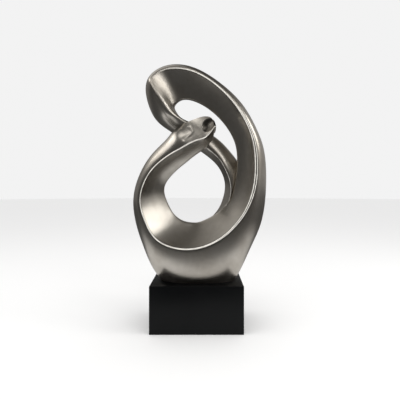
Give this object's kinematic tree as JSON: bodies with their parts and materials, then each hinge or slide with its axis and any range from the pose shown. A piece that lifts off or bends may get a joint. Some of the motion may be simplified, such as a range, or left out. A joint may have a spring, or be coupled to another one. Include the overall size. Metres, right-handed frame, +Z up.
{
  "type": "abstract ceramic sculpture",
  "caption": "Tabletop sculpture: a broad band twists into an upright knot with a hooked end over open holes, in satin silver on a black box plinth.",
  "frame": {"origin": "centre of the plinth's flat underside, on the ground", "axes": "+Z up, +X to the viewer's right, -Y towards the front, which is the side with the hook and the channel"},
  "size_m": [0.2901, 0.1402, 0.5643],
  "materials": {
    "silver_glaze": "satin antique silver finish over cast ceramic, warm grey, softly cloudy, with brighter rims",
    "black_lacquer": "black satin lacquer"
  },
  "bodies": {
    "root": {"sculpture": "silver_glaze", "plinth": "black_lacquer"}
  },
  "joints": []
}
